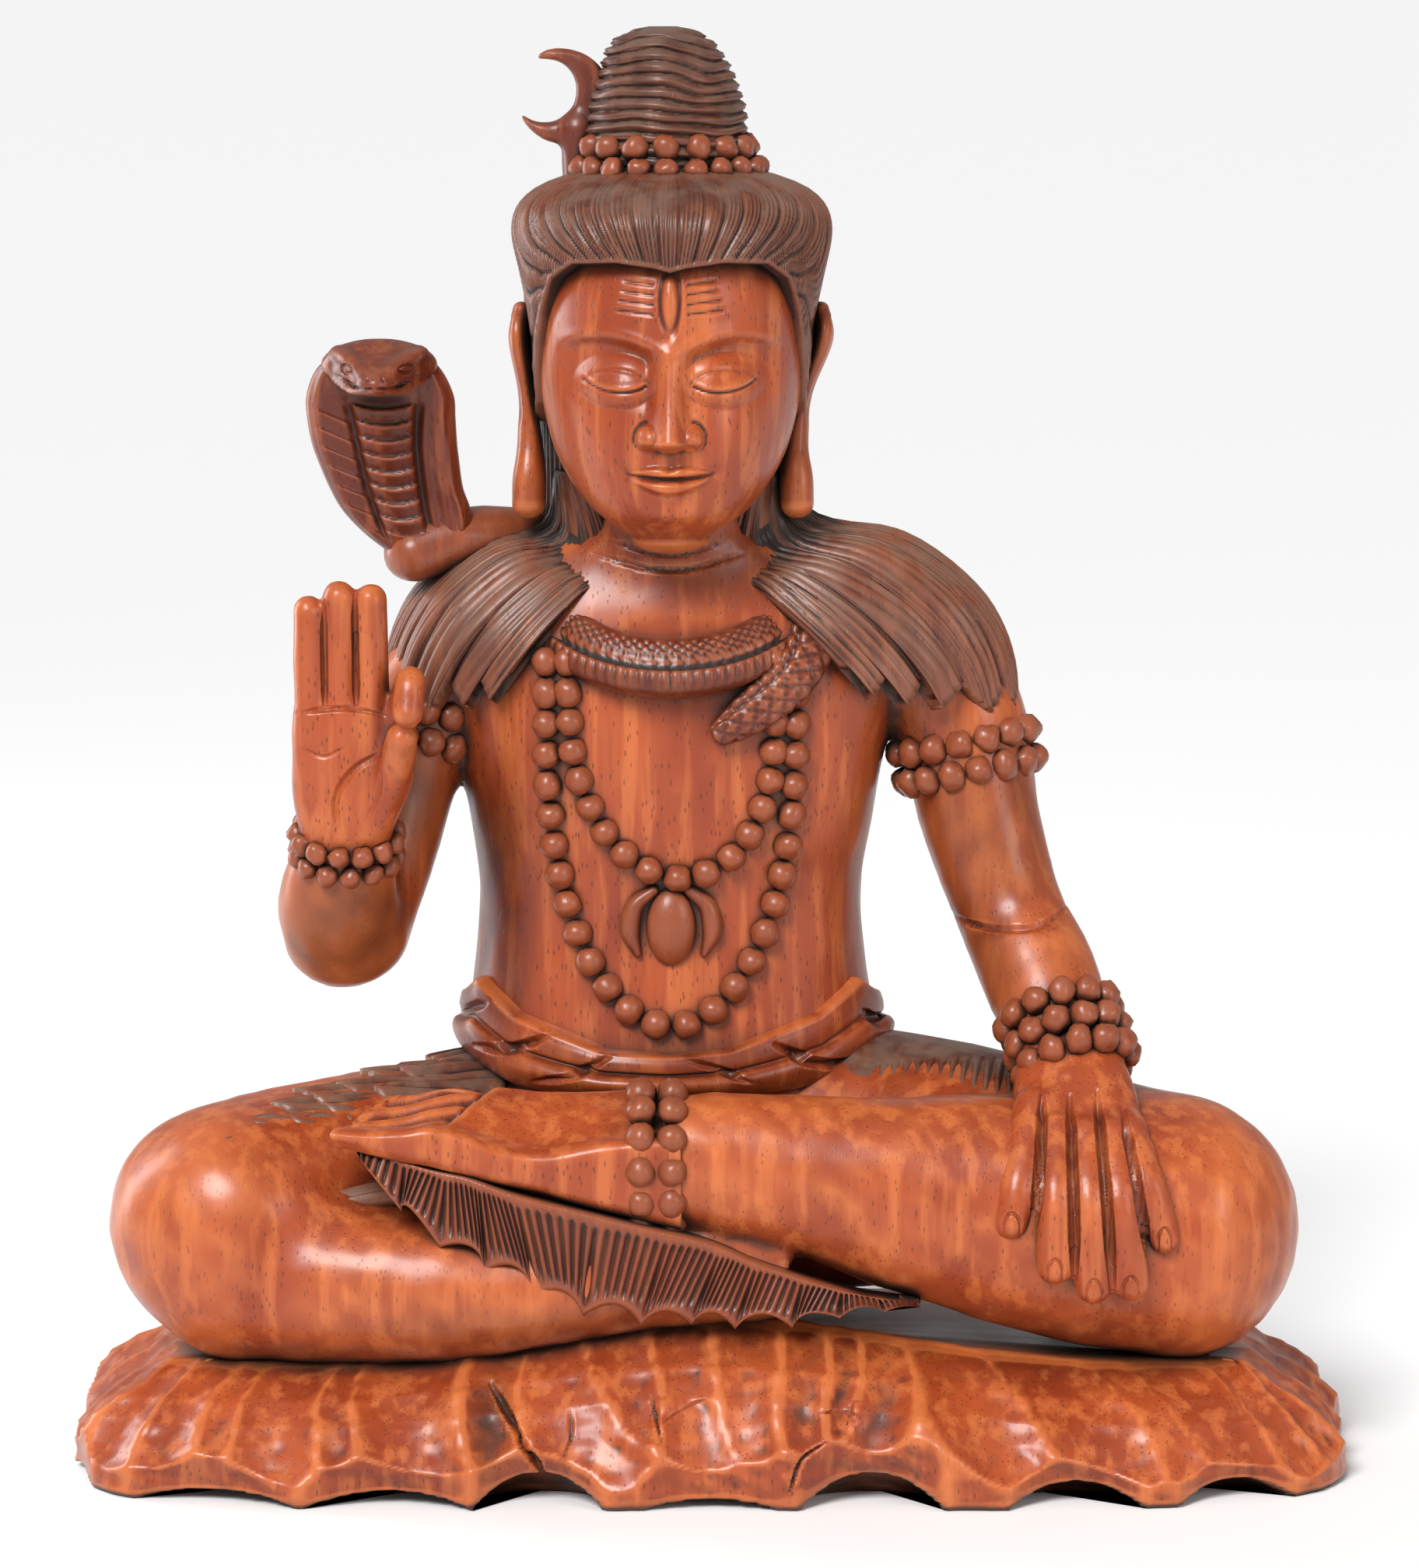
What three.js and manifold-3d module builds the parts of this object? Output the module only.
// A seated meditation figure carved from one block of wood, with the rocky base it sits on.
// Millimetres, +Z up. The figure faces -Y and +X is the viewer's right.
// The origin is the middle of the underside.
import * as THREE from "three";
import { mergeVertices } from "three/addons/utils/BufferGeometryUtils.js";
import Module from "manifold-3d";

const wasm = await Module();
wasm.setup();

// Driving dimensions
const HEIGHT = 400; // floor to the top of the hair knot
const BASE_WIDTH = 362;
const BASE_DEPTH = 168;
const AXIS = -11; // x of the figure's middle, left of the base's middle
const CHEST_Y = 20; // y of the trunk's middle

// Surface steps, low because the whole carving is one body
const LIMB_SIDES = 10;
const FINGER_SIDES = 5;

const X = new THREE.Vector3(1, 0, 0);
const Y = new THREE.Vector3(0, 1, 0);
const Z = new THREE.Vector3(0, 0, 1);
const TAU = Math.PI * 2;

const v3 = (p) => new THREE.Vector3(p[0], p[1], p[2]);
const lerp = THREE.MathUtils.lerp;
const rad = THREE.MathUtils.degToRad;

// Cosine or sine of a rounded-square section: power 2 is an ellipse, more is boxier.
const squared = (value, power) => Math.sign(value) * Math.abs(value) ** (2 / power);

// A mesh from rings of equal length, each anticlockwise about the way to the next.
// With a first and a last point its ends are closed, and without them it is a closed loop.
function skin(rings, first, last) {
  const sides = rings[0].length;
  const index = [];
  const at = (ring, side) => (ring % rings.length) * sides + (side % sides);
  const bands = first ? rings.length - 1 : rings.length;
  for (let s = 0; s < sides; s++) {
    for (let r = 0; r < bands; r++) {
      index.push(at(r, s), at(r, s + 1), at(r + 1, s));
      index.push(at(r, s + 1), at(r + 1, s + 1), at(r + 1, s));
    }
    if (!first) continue;
    const tips = rings.length * sides;
    index.push(tips, at(0, s + 1), at(0, s));
    index.push(tips + 1, at(rings.length - 1, s), at(rings.length - 1, s + 1));
  }
  const points = first ? [...rings.flat(), first, last] : rings.flat();
  const geometry = new THREE.BufferGeometry().setFromPoints(points);
  geometry.setIndex(index);
  return geometry;
}

// A limb through stations [x, y, z, a, b]: a is the half-size along the side direction and b across it.
// Its sections are square to the path, or to the normal where one is given. A cap of 0 is a flat end.
function limb(stations, options = {}) {
  const { side = X, sides = LIMB_SIDES, steps = 8, power = 2, caps = [1, 1], normal, flute = 0 } = options;
  const path = new THREE.CatmullRomCurve3(stations.map(v3), false, "catmullrom", 0.5);
  const sizes = new THREE.CatmullRomCurve3(
    stations.map((s) => new THREE.Vector3(s[3], s[4], 0)),
    false,
    "catmullrom",
    0.5,
  );
  const ring = (t, scale, shift) => {
    const centre = path.getPoint(t);
    const tangent = normal ?? path.getTangent(t);
    const size = sizes.getPoint(t);
    const across = side.clone().addScaledVector(tangent, -side.dot(tangent)).normalize();
    const up = tangent.clone().cross(across);
    centre.addScaledVector(tangent, shift * Math.min(size.x, size.y));
    return Array.from({ length: sides }, (_, i) => {
      const angle = (i / sides) * TAU;
      const reach = scale * (i % 2 ? 1 - flute : 1 + flute);
      return centre
        .clone()
        .addScaledVector(across, reach * size.x * squared(Math.cos(angle), power))
        .addScaledVector(up, reach * size.y * squared(Math.sin(angle), power));
    });
  };
  const pole = (t, shift) => {
    const size = sizes.getPoint(t);
    return path.getPoint(t).addScaledVector(normal ?? path.getTangent(t), shift * Math.min(size.x, size.y));
  };
  const half = Math.SQRT1_2;
  const rings = caps[0] ? [ring(0, half, -half * caps[0])] : [];
  for (let i = 0; i <= steps; i++) rings.push(ring(i / steps, 1, 0));
  if (caps[1]) rings.push(ring(1, half, half * caps[1]));
  return skin(rings, pole(0, -caps[0]), pole(1, caps[1]));
}

// A form through level sections [x, y, z, a, b]: a is the half-size along X and b the one along Y.
const stack = (stations, options) => limb(stations, { ...options, normal: Z });

// An ellipsoid of low detail.
function egg(centre, radii, { sides = 6, rows = 4, turn = 0 } = {}) {
  const geometry = new THREE.SphereGeometry(1, sides, rows);
  geometry.scale(...radii);
  geometry.rotateY(rad(turn));
  geometry.translate(...centre);
  return geometry;
}

// Beads on a string through these centres, facing outward, as one body that is pinched between the beads.
function beads(centres, outward, radius) {
  const last = centres.length - 1;
  const corners = [
    [1, 1],
    [-1, 1],
    [-1, -1],
    [1, -1],
  ];
  const square = (middle, tangent, half) => {
    const out = outward(middle).normalize();
    const side = tangent.clone().cross(out).normalize();
    return corners.map(([a, b]) =>
      middle.clone().addScaledVector(out, a * half).addScaledVector(side, b * half),
    );
  };
  const rings = centres.flatMap((centre, i) => {
    const next = centres[Math.min(i + 1, last)];
    const tangent = next.clone().sub(centres[Math.max(i - 1, 0)]).normalize();
    const full = square(centre, tangent, 0.78 * radius);
    return i < last ? [full, square(centre.clone().lerp(next, 0.5), tangent, 0.39 * radius)] : [full];
  });
  const tip = (end, before) => end.clone().addScaledVector(end.clone().sub(before).normalize(), 0.8 * radius);
  return skin(rings, tip(centres[0], centres[1]), tip(centres[last], centres[last - 1]));
}

// A closed band round an axis, in rows with a groove between them.
// Pinch is the share of its rise that it keeps between two beads: 1 where the band is plain.
function band({ centre, axis, radii, rows, count, radius, pinch }) {
  const turn = new THREE.Quaternion().setFromUnitVectors(Z, v3(axis).normalize());
  const half = rows * radius;
  const outer = Array.from({ length: rows * 2 + 1 }, (_, i) => {
    const rise = i === 0 || i === rows * 2 ? -0.7 : i % 2 ? 1 : 0.5;
    return [rise, half - i * radius];
  });
  const section = [[-1.8, 0], ...outer];
  const rings = Array.from({ length: count * 2 }, (_, i) => {
    const angle = (i / (count * 2)) * TAU;
    return section.map(([rise, height]) => {
      const swell = (rise > 0 && i % 2 ? rise * pinch : rise) * radius;
      const arm = new THREE.Vector3(
        (radii[0] + swell) * Math.cos(angle),
        (radii[1] + swell) * Math.sin(angle),
        height,
      );
      return arm.applyQuaternion(turn).add(v3(centre));
    });
  });
  return skin(rings);
}

// A closed slab between two grids of points: rows run down and columns to the right, seen from the front.
function slab(front, back) {
  const rows = front.length;
  const columns = front[0].length;
  const index = [];
  const at = (layer, r, c) => (layer * rows + r) * columns + c;
  const quad = (a, b, c, d) => index.push(a, b, c, a, c, d);
  for (let r = 0; r < rows - 1; r++) {
    for (let c = 0; c < columns - 1; c++) {
      quad(at(0, r, c), at(0, r + 1, c), at(0, r + 1, c + 1), at(0, r, c + 1));
      quad(at(1, r, c), at(1, r, c + 1), at(1, r + 1, c + 1), at(1, r + 1, c));
    }
    quad(at(0, r, 0), at(1, r, 0), at(1, r + 1, 0), at(0, r + 1, 0));
    const end = columns - 1;
    quad(at(0, r, end), at(0, r + 1, end), at(1, r + 1, end), at(1, r, end));
  }
  for (let c = 0; c < columns - 1; c++) {
    const low = rows - 1;
    quad(at(0, 0, c), at(0, 0, c + 1), at(1, 0, c + 1), at(1, 0, c));
    quad(at(0, low, c), at(1, low, c), at(1, low, c + 1), at(0, low, c + 1));
  }
  const geometry = new THREE.BufferGeometry().setFromPoints([...front.flat(), ...back.flat()]);
  geometry.setIndex(index);
  return geometry;
}

// A three.js geometry as a manifold-3d solid.
function solid(geometry) {
  const bare = geometry.clone();
  for (const name of ["normal", "uv"]) bare.deleteAttribute(name);
  const merged = mergeVertices(bare, 1e-4);
  return new wasm.Manifold(
    new wasm.Mesh({
      numProp: 3,
      vertProperties: new Float32Array(merged.attributes.position.array),
      triVerts: new Uint32Array(merged.index.array),
    }),
  );
}

// All these geometries joined into one solid, without the closed pockets left between overlapping forms.
function joined(geometries) {
  const shells = wasm.Manifold.union(geometries.map(solid)).decompose();
  return shells.reduce((best, shell) => (shell.volume() > best.volume() ? shell : best));
}

// Rock base

const BASE = {
  frontPower: 5,
  backPower: 2.2,
  floorInset: 1,
  rimFront: 15,
  rimEnds: 6,
  shoulderHeight: 25,
  shoulderInset: 9,
  topHeight: 38,
  topInset: 30,
  scallop: 8,
};
// x of the carved ridges along the front, and how many share the back and the ends
const FRONT_RIDGES = [-157, -115, -71, -23, 11, 54, 76, 113, 160];
const BACK_RIDGES = 10;

// Angles of the ridges round the base, anticlockwise from the viewer's left end of the front.
function ridgeAngles() {
  const front = FRONT_RIDGES.map((x) => {
    const across = (Math.abs(x) / (BASE_WIDTH / 2)) ** (BASE.frontPower / 2);
    return x < 0 ? Math.PI + Math.acos(across) : TAU - Math.acos(across);
  });
  const start = front[front.length - 1];
  const span = front[0] + TAU - start;
  const back = Array.from({ length: BACK_RIDGES }, (_, i) => start + (span * (i + 1)) / (BACK_RIDGES + 1));
  return [...front, ...back];
}

function rockBase() {
  const steps = 3;
  const angles = ridgeAngles();
  const samples = angles.flatMap((from, i) => {
    const to = i + 1 < angles.length ? angles[i + 1] : angles[0] + TAU;
    const width = Math.min(1, (to - from) / 0.25);
    return Array.from({ length: steps }, (_, k) => ({
      angle: lerp(from, to, k / steps),
      hollow: width * Math.sin((Math.PI * k) / steps) ** 0.8,
    }));
  });
  const ring = (front, ends, inset, depth) =>
    samples.map(({ angle, hollow }) => {
      const height = lerp(ends, front, Math.sin(angle) ** 2);
      const cut = inset + depth * hollow;
      const a = BASE_WIDTH / 2 - cut;
      const b = BASE_DEPTH / 2 - cut;
      const power = lerp(BASE.frontPower, BASE.backPower, (1 + Math.sin(angle)) / 2);
      const x = a * squared(Math.cos(angle), power);
      return new THREE.Vector3(x, b * squared(Math.sin(angle), power), height);
    });
  const rings = [
    ring(0, 0, BASE.floorInset, BASE.scallop * 0.6),
    ring(BASE.rimFront, BASE.rimEnds, 0, BASE.scallop),
    ring(BASE.shoulderHeight, BASE.shoulderHeight - 3, BASE.shoulderInset, BASE.scallop * 0.7),
    ring(BASE.topHeight, BASE.topHeight - 6, BASE.topInset, 0),
  ];
  return skin(rings, new THREE.Vector3(0, 0, 0), new THREE.Vector3(0, 0, BASE.topHeight));
}

// Trunk, neck and waist

const TRUNK = [
  [AXIS, 30, 88, 62, 44],
  [AXIS, 26, 112, 59, 38],
  [AXIS - 0.5, 22, 152, 54.5, 30],
  [AXIS, CHEST_Y, 175, 57, 31],
  [AXIS, CHEST_Y, 197, 61, 33],
  [AXIS, CHEST_Y, 218, 66, 32],
  [AXIS, CHEST_Y, 238, 62, 27],
  [AXIS, CHEST_Y, 252, 42, 22],
];
const TRUNK_POWER = 2.3;

// y of the chest's front at x, z.
function chestFront(x, z) {
  const i = Math.max(1, TRUNK.findIndex((s) => s[2] >= z));
  const [low, high] = [TRUNK[i - 1], TRUNK[i]];
  const t = (z - low[2]) / (high[2] - low[2]);
  const [cx, cy, , a, b] = low.map((value, k) => lerp(value, high[k], t));
  const share = Math.min(1, Math.abs(x - cx) / a);
  return cy - b * (1 - share ** TRUNK_POWER) ** (1 / TRUNK_POWER);
}

function trunk() {
  const neck = [
    [AXIS, 18, 236, 31, 25],
    [AXIS, 15, 247, 24, 20],
    [AXIS, 12, 262, 21.5, 19],
    [AXIS, 10, 276, 21.5, 20],
  ];
  return [
    stack(TRUNK, { sides: 16, steps: 6, power: TRUNK_POWER, caps: [0, 0.4] }),
    stack(neck, { sides: 12, steps: 2, caps: [0, 0] }),
  ];
}

const SASH = {
  centre: [AXIS - 1, 22, 114],
  axis: [0, -0.08, 1],
  radii: [52, 31],
  rows: 2,
  count: 9,
  radius: 9,
  pinch: 1,
};
// Stations of the fold: share of its half-width, drop below its ends, half-size
const FOLD = [
  [-1, 0, 3],
  [-0.5, 8, 4],
  [0, 11, 4],
  [0.5, 8, 4],
  [1, 0, 3],
];
const FOLD_HALF_WIDTH = 49;
const FOLD_TOP = 121;

// Wrapped waist cloth: two wound bands, and a fold that sags across the front.
function waistCloth() {
  const [a, b] = SASH.radii.map((radius) => radius + SASH.radius - 2);
  const stations = FOLD.map(([share, drop, size]) => {
    const x = share * FOLD_HALF_WIDTH;
    return [AXIS + x, SASH.centre[1] - b * Math.sqrt(1 - (x / a) ** 2), FOLD_TOP - drop, size, size];
  });
  return [band(SASH), limb(stations, { side: Y, sides: 4, steps: 4 })];
}

// Legs

const LEFT_SHIN = [
  [-14, -46, 90, 15, 18],
  [20, -45, 87, 18, 21.5],
  [57, -42, 79, 24, 27.5],
  [95, -35, 71, 31, 33],
  [129, -26, 66, 36, 36],
];
const LEFT_THIGH = [
  [30, 22, 86, 34, 30],
  [75, 4, 78, 36, 33],
  [127, -22, 68, 36, 35],
];
const RIGHT_THIGH = [
  [-52, 24, 80, 34, 28],
  [-95, 2, 75, 35, 30],
  [-134, -24, 67, 36, 34],
];
const RIGHT_SHIN = [
  [-128, -30, 56, 28, 26],
  [-95, -39, 54, 25, 23],
  [-60, -44, 54, 22, 19],
  [-15, -44, 58, 19, 16],
  [20, -40, 58, 16, 14],
];
const FOOT = [
  [-12, -46, 90, 15, 18],
  [-34, -47, 92, 15, 16.5],
  [-60, -48, 94, 16, 13],
  [-84, -48, 97, 16, 10],
];
const SEAT = [
  [-62, 34, 70, 36, 34],
  [AXIS, 36, 70, 40, 36],
  [40, 34, 70, 36, 34],
];
const TOES = { count: 5, firstY: -59, pitch: 6.2, rootX: -80, tipX: -99, z: 96 };

function legs() {
  const tall = { side: Y, power: 2.1 };
  return [
    limb(SEAT, { ...tall, steps: 2 }),
    limb(LEFT_THIGH, { ...tall, steps: 3, caps: [0, 1] }),
    limb(RIGHT_THIGH, { ...tall, steps: 3, caps: [0, 1] }),
    limb(LEFT_SHIN, { ...tall, steps: 5, caps: [0, 1] }),
    limb(RIGHT_SHIN, { ...tall, steps: 4, caps: [1, 0] }),
    limb(FOOT, { side: Y, steps: 4, power: 2.6, caps: [0, 0.4] }),
    ...toes(),
  ];
}

// Toes of the upturned foot, one behind the other.
function toes() {
  return Array.from({ length: TOES.count }, (_, i) => {
    const y = TOES.firstY + TOES.pitch * i;
    const z = TOES.z + 2 * i;
    const root = [TOES.rootX + 2 * i, y, z - 1, 3, 5];
    const tip = [TOES.tipX + 4 * i, y, z + 1, 3, 4.2];
    return limb([root, tip], { side: Y, sides: FINGER_SIDES, steps: 1, caps: [0, 1] });
  });
}

// Arms and hands

const LEFT_ARM = [
  [60, 20, 226, 18, 18],
  [71, 19, 204, 19, 18],
  [77, 15, 176, 17, 17],
  [85, 8, 151, 15.5, 15.5],
  [93, -4, 134, 16.5, 15.5],
  [100, -20, 116, 14.5, 12],
];
const RIGHT_UPPER_ARM = [
  [-68, 20, 226, 16, 16],
  [-83, 17, 205, 17, 17],
  [-92, 8, 172, 15.5, 16],
  [-101, -3, 147, 16, 16],
];
const RIGHT_FOREARM = [
  [-103, -6, 146, 17, 15],
  [-104, -14, 158, 17, 14.5],
  [-101, -24, 176, 13, 11],
];

const RAISED_PALM = [
  [-101, -25, 174, 12, 9],
  [-101, -30, 190, 14.5, 8],
  [-101, -34, 206, 14, 6.5],
  [-101, -35, 214, 13, 5.5],
];
// Fingers of the raised hand: little, ring, middle, the forefinger curled to the thumb, and the thumb
const RAISED_DIGITS = [
  { root: 4.1, tip: 3.9, points: [[-109.8, -35, 212], [-110.5, -36, 241.5]] },
  { root: 4.3, tip: 4.2, points: [[-101.5, -35, 212], [-102, -37, 245.5]] },
  { root: 4.2, tip: 4.1, points: [[-93.2, -35, 212], [-93.4, -37, 244.5]] },
  { root: 4.6, tip: 4, points: [[-87, -34, 208], [-84, -38, 220], [-83, -45, 222], [-83.5, -47, 214]] },
  { root: 6, tip: 4.2, points: [[-92, -31, 184], [-86, -36, 196], [-84, -43, 210]] },
];
const LOWERED_BACK = [
  [100, -22, 117, 14, 10],
  [101, -36, 106, 17, 9],
  [102, -48, 96, 18, 8],
];
// Fingers of the lowered hand, spread over the knee: thumb first
const LOWERED_DIGITS = [
  { root: 5.6, tip: 4.6, points: [[90, -45, 102], [84.5, -60, 88], [82, -63, 74]] },
  { root: 5, tip: 4.4, points: [[95, -52, 97], [94.5, -64, 84], [95.5, -67, 65]] },
  { root: 5, tip: 4.4, points: [[101.5, -54, 96], [102.5, -65, 82], [104.5, -67, 59]] },
  { root: 5, tip: 4.4, points: [[108, -53, 96], [110.5, -64, 82], [114.5, -65, 59]] },
  { root: 4.6, tip: 4, points: [[113, -49, 98], [118, -60, 86], [123, -62, 70]] },
];

// A digit that narrows evenly from root to tip.
function digit({ points, root, tip }) {
  const last = points.length - 1;
  const stations = points.map((p, i) => {
    const radius = lerp(root, tip, i / last);
    return [...p, radius, radius];
  });
  return limb(stations, { sides: FINGER_SIDES, steps: last, caps: [0, 1] });
}

function arms() {
  return [
    limb(LEFT_ARM, { steps: 7, caps: [0, 0] }),
    limb(RIGHT_UPPER_ARM, { steps: 4, caps: [0, 0.6] }),
    limb(RIGHT_FOREARM, { steps: 4, caps: [1, 0] }),
    limb(RAISED_PALM, { steps: 4, power: 2.6, caps: [0, 0.3] }),
    ...RAISED_DIGITS.map(digit),
    limb(LOWERED_BACK, { steps: 3, power: 2.4, caps: [0, 0.5] }),
    ...LOWERED_DIGITS.map(digit),
  ];
}

// Head

const SKULL = [
  [AXIS, -15, 260, 11, 12],
  [AXIS, -9, 268, 22.5, 24],
  [AXIS, -1, 281, 31.5, 33],
  [AXIS, 4, 297, 36, 38.5],
  [AXIS, 7, 313, 37.5, 42],
  [AXIS, 9, 330, 37, 43],
  [AXIS, 10, 344, 31, 37],
];
const NOSE = [
  [AXIS, -33, 311, 2.4, 3],
  [AXIS, -36, 300, 3, 4],
  [AXIS, -39, 289, 7, 4.6],
];
// Offsets from the figure's middle on one side of the face: x, y, z and half-sizes
const BROW = [
  [4, -35.5, 313, 1.6, 1.8],
  [15, -34, 319, 1.8, 1.8],
  [27, -25, 315, 1.4, 1.6],
];
const EAR = [
  [41, 14, 320, 3, 6],
  [42.5, 13, 309, 3.2, 8],
  [40, 12, 294, 3, 6],
  [39.5, 11, 280, 3.2, 5.5],
  [40.5, 9, 269, 4.4, 6.5],
];
const EYE = { x: 15, y: -30, z: 306, radii: [8.5, 5.5, 4.6] };
const LIPS = [
  { z: 278.8, radii: [10.5, 4, 2.6] },
  { z: 274.6, radii: [8.5, 4.2, 2.8] },
];

// The head's side parts, on the side that way gives.
function faceSide(way) {
  const onSide = (stations) => stations.map(([x, ...rest]) => [AXIS + way * x, ...rest]);
  return [
    egg([AXIS + way * EYE.x, EYE.y, EYE.z], EYE.radii),
    limb(onSide(BROW), { side: Z, sides: 4, steps: 3 }),
    limb(onSide(EAR), { sides: 6, steps: 4 }),
  ];
}

function head() {
  return [
    stack(SKULL, { sides: 14, steps: 6, caps: [0.45, 0] }),
    limb(NOSE, { sides: 6, steps: 2, caps: [0.5, 0.7] }),
    ...LIPS.map(({ z, radii }) => egg([AXIS, -34, z], radii)),
    egg([AXIS, -34.5, 327], [2, 2, 6], { rows: 3 }),
    ...faceSide(-1),
    ...faceSide(1),
  ];
}

// Hair

// Levels of the roll: z and half-sizes along X and Y
const ROLL = [
  [333, 37, 42.5],
  [336, 42, 46.5],
  [343, 44.5, 47.5],
  [353, 40, 41],
  [359, 27, 27],
];
const ROLL_FLUTES = 15;
const ROLL_Y = 9;
const FLUTE_DEPTH = 0.6;

// Hair drawn up from the brow, with a flute for each lock.
function hairRoll() {
  const sides = ROLL_FLUTES * 2;
  const rings = ROLL.map(([z, a, b]) =>
    Array.from({ length: sides }, (_, i) => {
      const angle = (i / sides) * TAU;
      const flute = i % 2 ? -FLUTE_DEPTH : FLUTE_DEPTH;
      const x = AXIS + (a + flute) * Math.cos(angle);
      return new THREE.Vector3(x, ROLL_Y + (b + flute) * Math.sin(angle), z);
    }),
  );
  const middle = (z) => new THREE.Vector3(AXIS, ROLL_Y, z);
  return skin(rings, middle(ROLL[0][0]), middle(ROLL[ROLL.length - 1][0] + 1));
}

const HAIR_BEHIND = [
  [AXIS, 32, 246, 40, 16],
  [AXIS, 29, 268, 39, 21],
  [AXIS, 25, 290, 39, 27],
  [AXIS, 22, 315, 42, 32],
  [AXIS, 20, 336, 42, 36],
];
// Hair behind the ears and down the neck, in fluted locks.
const hairBehind = () => stack(HAIR_BEHIND, { sides: 18, steps: 3, caps: [0, 0], flute: 0.015 });

const KNOT = { y: 15, foot: 352, z: 360, radius: 21.5, topRadius: 8.5, coils: 5, sides: 10 };
const KNOT_BEADS = {
  centre: [AXIS, KNOT.y, 363.5],
  axis: [0, 0, 1],
  radii: [20.5, 20.5],
  rows: 2,
  count: 10,
  radius: 3.6,
  pinch: 0.6,
};

// The knot on the crown: wound hair in steps, over two rings of beads.
function knot() {
  const top = HEIGHT - 2;
  const step = (top - KNOT.z) / KNOT.coils;
  const reach = (share) => KNOT.radius * Math.sqrt(1 - share ** 2.4) + 0.5;
  const profile = [new THREE.Vector2(0, KNOT.foot)];
  for (let i = 0; i < KNOT.coils; i++) {
    const z = KNOT.z + i * step;
    profile.push(new THREE.Vector2(reach(i / KNOT.coils) - 1.2, z));
    profile.push(new THREE.Vector2(reach((i + 0.35) / KNOT.coils), z + 0.45 * step));
  }
  profile.push(new THREE.Vector2(KNOT.topRadius, top));
  profile.push(new THREE.Vector2(0, HEIGHT));
  const coils = new THREE.LatheGeometry(profile, KNOT.sides);
  coils.rotateX(Math.PI / 2);
  coils.translate(AXIS, KNOT.y, 0);
  return [coils, band(KNOT_BEADS)];
}

// The crescent beside the knot, its horns to the viewer's left.
const CRESCENT = {
  outer: { x: -43.5, z: 379, radius: 15 },
  inner: { x: -46.7, z: 381, radius: 10 },
  halfAngle: 0.62 * Math.PI,
  frontY: 11,
  thickness: 8,
};

function crescent() {
  const { outer, inner, halfAngle } = CRESCENT;
  const shape = new THREE.Shape();
  shape.absarc(outer.x, outer.z, outer.radius, -halfAngle, halfAngle, false);
  shape.absarc(inner.x, inner.z, inner.radius, halfAngle, -halfAngle, true);
  const plate = new THREE.ExtrudeGeometry(shape, {
    depth: CRESCENT.thickness,
    bevelEnabled: false,
    curveSegments: 7,
  });
  plate.rotateX(Math.PI / 2);
  plate.translate(0, CRESCENT.frontY + CRESCENT.thickness, 0);
  return plate;
}

// Hair spread over a shoulder: a dome of locks from the neck to a hem of points.
const CAPES = [
  { way: 1, middle: [30, CHEST_Y, 210], reach: [57, 33, 51] },
  { way: -1, middle: [-47, CHEST_Y, 210], reach: [46, 32, 50] },
];
const CAPE_LOCKS = 12;
const CAPE_LIFTS = [12, 30, 52, 74]; // degrees above the shoulder's middle

function cape({ way, middle, reach }) {
  const columns = CAPE_LOCKS * 2;
  const ring = (lift) =>
    Array.from({ length: columns }, (_, i) => {
      const turn = (i / columns) * TAU;
      const groove = i % 2;
      const hem = lerp(2, 24, Math.max(0, -Math.cos(turn))) - (groove ? -4 : 7);
      const angle = rad(lift ?? hem);
      const swell = groove ? 0.96 : 1;
      return new THREE.Vector3(
        middle[0] + way * swell * reach[0] * Math.cos(turn) * Math.cos(angle),
        middle[1] + way * swell * reach[1] * Math.sin(turn) * Math.cos(angle),
        middle[2] + reach[2] * Math.sin(angle),
      );
    });
  const top = new THREE.Vector3(middle[0], middle[1], middle[2] + reach[2]);
  return skin([ring(), ...CAPE_LIFTS.map(ring)], v3(middle), top);
}

// Hair down the back: locks with a hem of points, plainer than the front.
const BACK_LOCKS = 6;
const BACK_ROWS = [
  { z: 262, half: 36, y: 50 },
  { z: 236, half: 50, y: 55 },
  { z: 212, half: 47, y: 54 },
];
function backHair() {
  const columns = BACK_LOCKS * 2 + 1;
  const grid = (thick) =>
    BACK_ROWS.map(({ z, half, y }, r) =>
      Array.from({ length: columns }, (_, i) => {
        const share = 1 - (2 * i) / (columns - 1);
        const groove = i % 2 === 0;
        const drop = r === BACK_ROWS.length - 1 ? (groove ? -6 : 8) : 0;
        const bow = 14 * share ** 2;
        return new THREE.Vector3(AXIS + half * share, y - bow - thick - (groove ? 2 : 0), z - drop);
      }),
    );
  return slab(grid(0), grid(12));
}

// Ornaments

// Points a step apart along a curve.
function spaced(curve, step) {
  const count = Math.round(curve.getLength() / step);
  return Array.from({ length: count + 1 }, (_, i) => curve.getPointAt(i / count));
}

const NECKLACES = [
  { half: 29, lean: 3, low: 163, radius: 4.5 },
  { half: 35, lean: 0, low: 121, radius: 4.6 },
];
const NECKLACE_TOP = 224;

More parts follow.
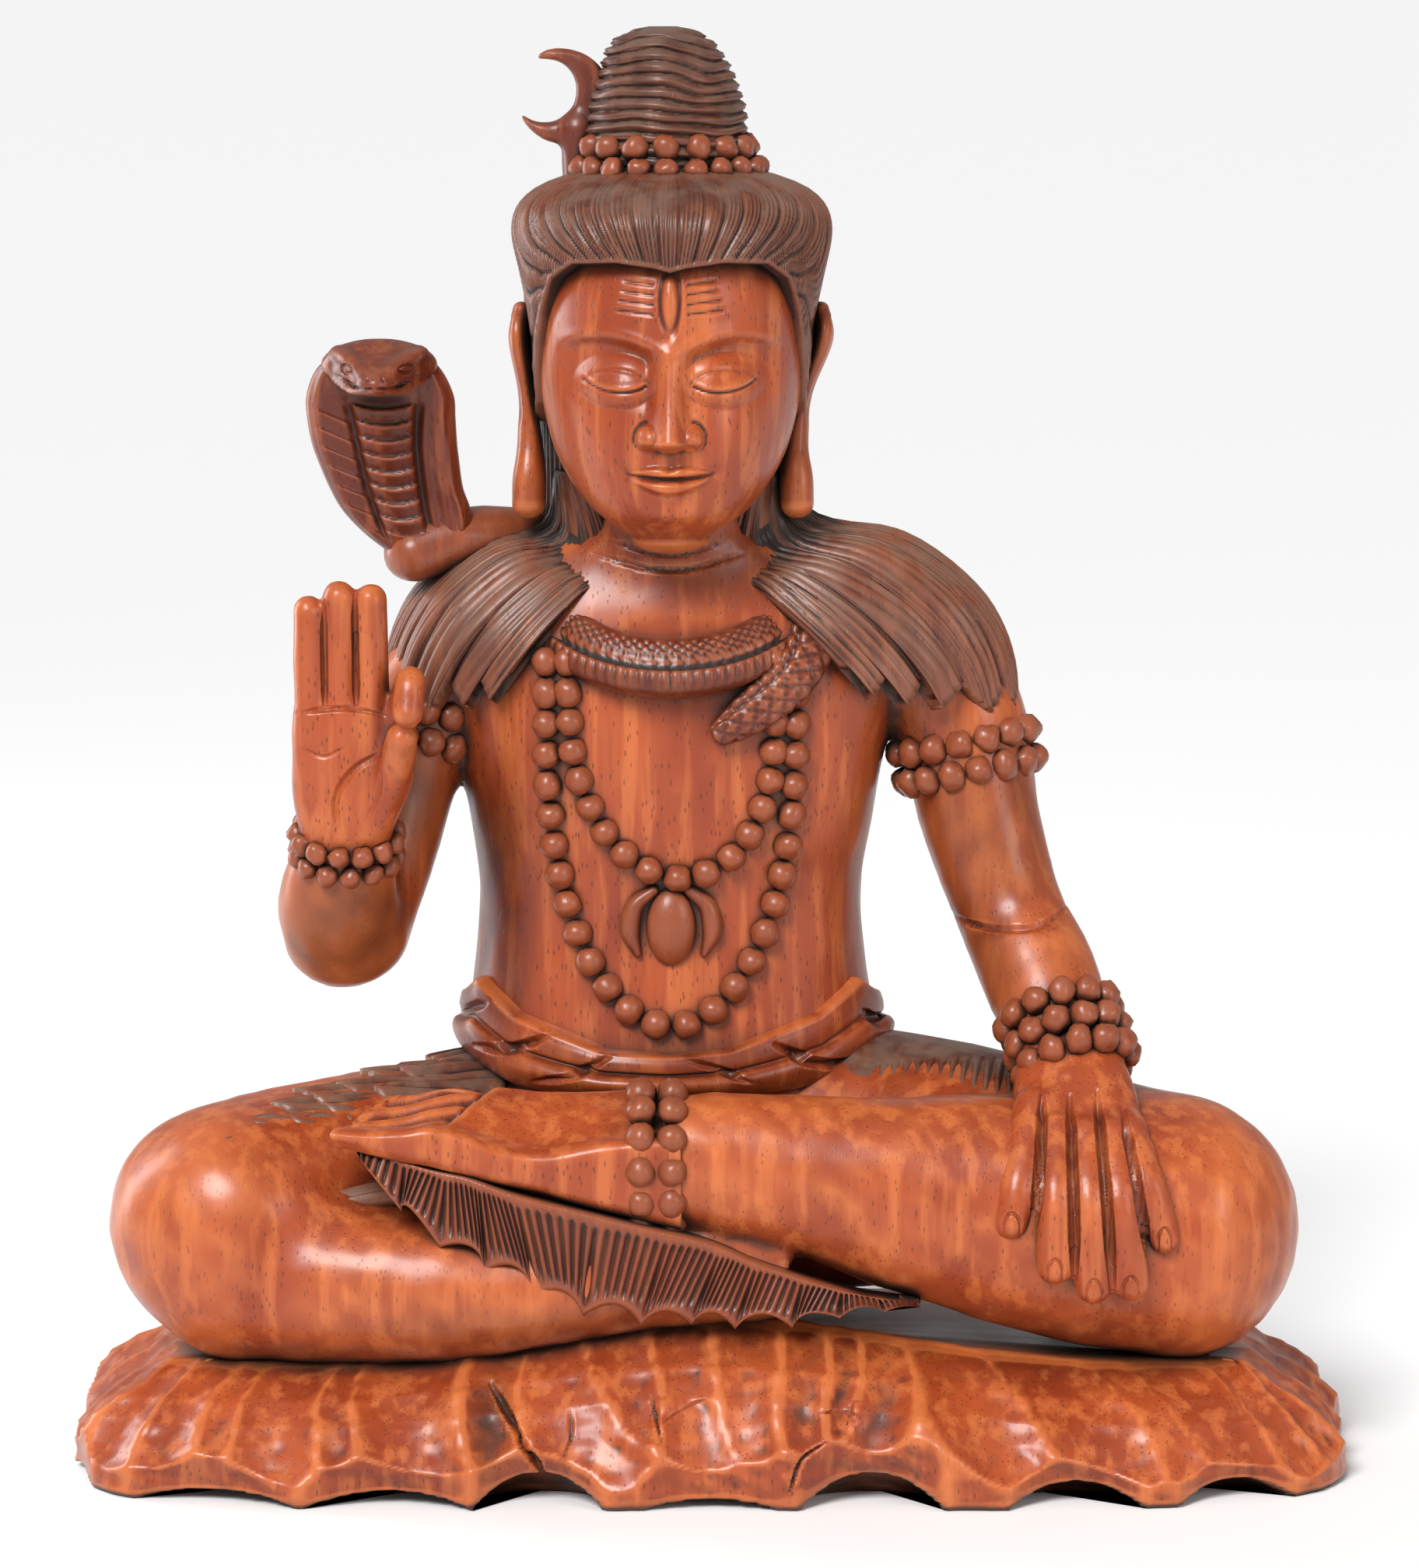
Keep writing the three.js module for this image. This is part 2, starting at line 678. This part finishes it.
// A necklace on the chest: half its width at the top, how far it leans, and how low it hangs.
function necklace({ half, lean, low, radius }) {
  const steps = 12;
  const points = Array.from({ length: steps + 1 }, (_, i) => {
    const turn = (i / steps) * Math.PI;
    const narrow = 0.86 + 0.14 * Math.abs(Math.cos(turn));
    const x = AXIS + lean * Math.sin(turn) - half * Math.cos(turn) * narrow;
    return new THREE.Vector3(x, 0, NECKLACE_TOP - (NECKLACE_TOP - low) * Math.sin(turn) ** 0.62);
  });
  const curve = new THREE.CatmullRomCurve3(points);
  const onChest = (p) => new THREE.Vector3(p.x, chestFront(p.x, p.z) - 1, p.z);
  const centres = spaced(curve, radius * 2.2).map(onChest);
  return beads(centres, () => new THREE.Vector3(0, -1, 0), radius);
}

function pendant() {
  const z = 149;
  const y = chestFront(AXIS, z) - 1;
  return [
    egg([AXIS, y, z], [7, 4, 11]),
    egg([AXIS - 9.5, y, z + 3], [3, 3, 8.5], { turn: 12 }),
    egg([AXIS + 9.5, y, z + 2], [3, 3, 9], { turn: -12 }),
  ];
}

// The snake round the neck as a collar, high behind and low in front, and its tail over the breast
const COLLAR = { y: 11, radii: [33, 28], high: 250, low: 223, thick: 4.5, broad: 8.5, lean: 0.55, sides: 22 };
const TAIL = [
  [27, 6, 240, 4, 7],
  [22, -5, 226, 4, 6.5],
  [10, -12, 214, 3.6, 6],
  [1, -14, 206, 3, 4.5],
];

function collar() {
  const corners = [
    [1, -1],
    [1, 1],
    [-1, 1],
    [-1, -1],
  ];
  const rings = Array.from({ length: COLLAR.sides }, (_, i) => {
    const angle = (i / COLLAR.sides) * TAU;
    const out = new THREE.Vector3(Math.cos(angle), Math.sin(angle), 0);
    const front = ((1 - out.y) / 2) ** 1.2;
    const middle = new THREE.Vector3(
      AXIS + COLLAR.radii[0] * out.x,
      COLLAR.y + COLLAR.radii[1] * out.y,
      lerp(COLLAR.high, COLLAR.low, front),
    );
    const up = Z.clone().addScaledVector(out, -COLLAR.lean).normalize();
    return corners.map(([a, b]) =>
      middle.clone().addScaledVector(out, a * COLLAR.thick).addScaledVector(up, -b * COLLAR.broad),
    );
  });
  return [skin(rings), limb(TAIL, { side: Y, sides: 6, steps: 3, power: 2.6, caps: [0.5, 0.5] })];
}

const ANKLET = {
  strings: [-18.5, -10.5],
  y: -46,
  z: 90,
  radii: [15, 18],
  from: 80,
  to: 290,
  count: 7,
  radius: 4.4,
};

// Two strings of beads over the crossed ankle.
function anklet() {
  return ANKLET.strings.map((x) => {
    const middle = new THREE.Vector3(x, ANKLET.y, ANKLET.z);
    const centres = Array.from({ length: ANKLET.count }, (_, i) => {
      const angle = rad(lerp(ANKLET.from, ANKLET.to, i / (ANKLET.count - 1)));
      const arm = new THREE.Vector3(0, ANKLET.radii[0] * Math.cos(angle), ANKLET.radii[1] * Math.sin(angle));
      return arm.add(middle);
    });
    return beads(centres, (p) => p.clone().sub(middle), ANKLET.radius);
  });
}

// Armlets of beads, and the plainer bands at the wrists
const ARMLET = { rows: 2, radius: 5, pinch: 0.6 };
const WRISTBAND = { rows: 2, count: 6, pinch: 1 };
const CUFFS = [
  { ...ARMLET, centre: [73, 19, 194], axis: [0.2, -0.1, -1], radii: [17, 16.5], count: 10 },
  { ...ARMLET, centre: [-84.5, 16, 203], axis: [-0.25, -0.2, -1], radii: [15.5, 15.5], count: 9 },
  { ...WRISTBAND, centre: [100, -20.5, 118.5], axis: [0.25, -0.66, -0.7], radii: [14, 12], radius: 4.8 },
  { ...WRISTBAND, centre: [-101, -24, 174.5], axis: [0.05, -0.45, 1], radii: [12.5, 10.5], radius: 4.2 },
];

function ornaments() {
  return [
    ...NECKLACES.map(necklace),
    ...pendant(),
    ...collar(),
    ...CUFFS.map(band),
    ...anklet(),
  ];
}

// The broad scales down the front of the cobra's throat.
const BELLY_SCALES = 5;
function bellyScales() {
  return Array.from({ length: BELLY_SCALES }, (_, i) => {
    const t = i / (BELLY_SCALES - 1);
    const centre = [lerp(-86, -91, t), lerp(6, 2, t), lerp(260, 290, t)];
    return egg(centre, [lerp(5.5, 9, t), 4, 3.4], { sides: 4, rows: 3 });
  });
}

const HOOD = [
  [-86, 12, 254, 7, 5],
  [-89, 10, 266, 13, 5],
  [-92.5, 8, 280, 18.5, 5],
  [-93.5, 7, 293, 21, 5.5],
  [-93, 6, 303, 18.5, 6],
  [-92.5, 4, 309, 11, 6],
];
const SNAKE_BODY = [
  [-84, 14, 256, 8, 8],
  [-70, 18, 259, 9, 8],
  [-52, 26, 258, 9, 8],
  [-30, 34, 252, 8, 8],
];

// The cobra on the shoulder: a spoon-shaped hood, its head and its body behind the neck.
function cobra() {
  return [
    limb(HOOD, { sides: 12, steps: 6, power: 2.2, caps: [0, 0.6] }),
    ...bellyScales(),
    limb(SNAKE_BODY, { side: Y, sides: 8, steps: 4 }),
    egg([-91.5, -3, 302.5], [9.5, 10, 6.5]),
    egg([-91, -10, 300.5], [5.5, 6, 4]),
  ];
}

// Skirt

// x and z of the hem's top, under the foot and shin, and of its lower edge.
const FRINGE_TOP = [
  [-97, 98],
  [-67, 88],
  [-26, 80],
  [2, 73],
  [30, 64],
  [56, 57],
];
const FRINGE_EDGE = [
  [-96, 94],
  [-82, 86],
  [-70, 72],
  [-57, 64],
  [-36, 55],
  [-11, 51],
  [10, 50],
  [40, 54],
  [58, 56],
];
const FRINGE_LAPPETS = 10;

// The fringed hem that hangs between the crossed legs, cut in lappets.
function fringe() {
  const curve = (points) => new THREE.CatmullRomCurve3(points.map(([x, z]) => new THREE.Vector3(x, 0, z)));
  const top = curve(FRINGE_TOP);
  const edge = curve(FRINGE_EDGE);
  const columns = FRINGE_LAPPETS * 2 + 1;
  const grid = (y) =>
    [0, 0.55, 1].map((down) =>
      Array.from({ length: columns }, (_, i) => {
        const t = i / (columns - 1);
        const groove = i % 2 === 0;
        const point = top.getPoint(t).lerp(edge.getPoint(t), down);
        const bow = -57 - 7 * Math.sin(Math.PI * t) - 3 * down + (groove ? 2 : 0);
        const tip = down === 1 && groove ? 3 : 0;
        return new THREE.Vector3(point.x, bow + y, point.z + tip);
      }),
    );
  return slab(grid(0), grid(16));
}

// Skirt hems that lie in flutes on top of the thighs.
const THIGH_FLUTES = 4;
function thighHem(from, to, lift) {
  const columns = THIGH_FLUTES * 2 + 1;
  const grid = (depth) =>
    [0, 1].map((down) =>
      Array.from({ length: columns }, (_, i) => {
        const t = i / (columns - 1);
        const groove = i % 2 === 0;
        const x = lerp(from[0], to[0], t);
        const y = lerp(from[1], to[1], t) + (down ? (groove ? -16 : -20) : 6);
        const z = lerp(from[2], to[2], t) + lift * (1 - down) - (groove ? 1.6 : 0) - depth;
        return new THREE.Vector3(x, y, z);
      }),
    );
  return slab(grid(0), grid(8));
}

const thighHems = () => [
  thighHem([-122, -8, 97], [-68, 0, 108], 2),
  thighHem([44, -6, 107], [86, -12, 105], 2),
];

// The whole carving as one mesh

const WOOD = new THREE.MeshStandardMaterial({ color: 0x7a2f14, roughness: 0.34, metalness: 0 });

function carving() {
  const body = joined([
    rockBase(),
    ...trunk(),
    ...waistCloth(),
    ...legs(),
    ...arms(),
    ...head(),
    hairRoll(),
    hairBehind(),
    ...knot(),
    crescent(),
    ...CAPES.map(cape),
    backHair(),
    ...ornaments(),
    ...cobra(),
    fringe(),
    ...thighHems(),
  ]);
  const { vertProperties, triVerts } = body.getMesh();
  const geometry = new THREE.BufferGeometry();
  geometry.setAttribute("position", new THREE.BufferAttribute(vertProperties, 3));
  geometry.setIndex(new THREE.BufferAttribute(triVerts, 1));
  geometry.computeBoundingBox();
  const middle = geometry.boundingBox.getCenter(new THREE.Vector3());
  geometry.translate(-middle.x, -middle.y, 0);
  geometry.computeVertexNormals();
  return geometry;
}

const figure = new THREE.Mesh(carving(), WOOD);
figure.name = "carved_figure";

const part = new THREE.Group();
part.add(figure);

export default part;
